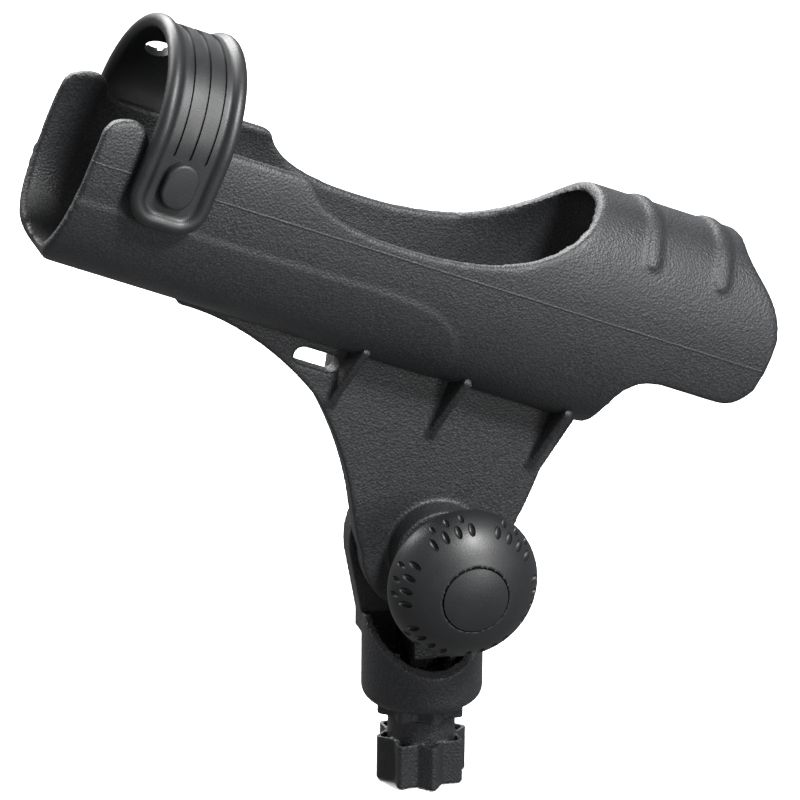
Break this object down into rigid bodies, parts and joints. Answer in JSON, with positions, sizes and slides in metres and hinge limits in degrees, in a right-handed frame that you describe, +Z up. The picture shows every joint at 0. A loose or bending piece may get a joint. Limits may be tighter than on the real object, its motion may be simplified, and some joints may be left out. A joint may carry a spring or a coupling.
{
  "type": "tilting rod holder",
  "caption": "Tilting rod holder: an open-topped oval tube with a closing bail, on a toothed hinge with a clamp knob, over a round collar and a star-shaped deck spigot.",
  "frame": {"origin": "the middle of the star spigot's foot, the lowest point of the part", "axes": "+Z up along the spigot and its collar, +X towards the tube's rear mouth, -Y towards the clamp knob; the tube's open front and its bail are at -X"},
  "size_m": [0.2648, 0.0959, 0.2981],
  "materials": {
    "filled_nylon": "glass-filled nylon, moulded, satin with a fine mottled grain",
    "smooth_nylon": "unfilled nylon, moulded, smooth and slightly glossy",
    "acetal": "acetal, moulded, fine matt",
    "stainless_steel": "bright stainless steel",
    "brass": "turned and knurled brass"
  },
  "bodies": {
    "base": {"base_body": "filled_nylon", "spigot_star": "filled_nylon", "spigot_screw": "stainless_steel", "spigot_washer": "stainless_steel", "spigot_nut": "stainless_steel", "ear_tooth_ring": "acetal", "tilt_bolt": "stainless_steel", "bolt_stop_nut": "stainless_steel", "release_spring": "stainless_steel"},
    "clamp_stack": {"thrust_washer": "stainless_steel"},
    "knob": {"knob_shell": "smooth_nylon", "knob_insert": "brass", "knob_cap": "smooth_nylon"},
    "cradle": {"rod_cradle": "filled_nylon", "cradle_tooth_ring": "acetal", "bail_pivot_near": "acetal", "bail_pivot_far": "acetal"},
    "bail": {"closing_bail": "smooth_nylon"}
  },
  "joints": [
    {"name": "knob_travel", "type": "slide", "parent": "base", "child": "clamp_stack", "axis": [0, -1, 0], "range_m": [0, 0.0025]},
    {"name": "knob_spin", "type": "hinge", "parent": "clamp_stack", "child": "knob", "pos_m": [0.002, 0, 0.091], "axis": [0, -1, 0], "range_deg": [0, 720]},
    {"name": "cradle_tilt", "type": "hinge", "parent": "clamp_stack", "child": "cradle", "pos_m": [0.002, 0, 0.091], "axis": [0, 1, 0], "range_deg": [-60, 45]},
    {"name": "bail_swing", "type": "hinge", "parent": "cradle", "child": "bail", "pos_m": [-0.09988, 0, 0.24843], "axis": [0, 1, 0], "range_deg": [-15, 15]}
  ],
  "couplings": [
    {"joint": "knob_spin", "follows": "knob_travel", "rad_per_m": 5026.5}
  ]
}
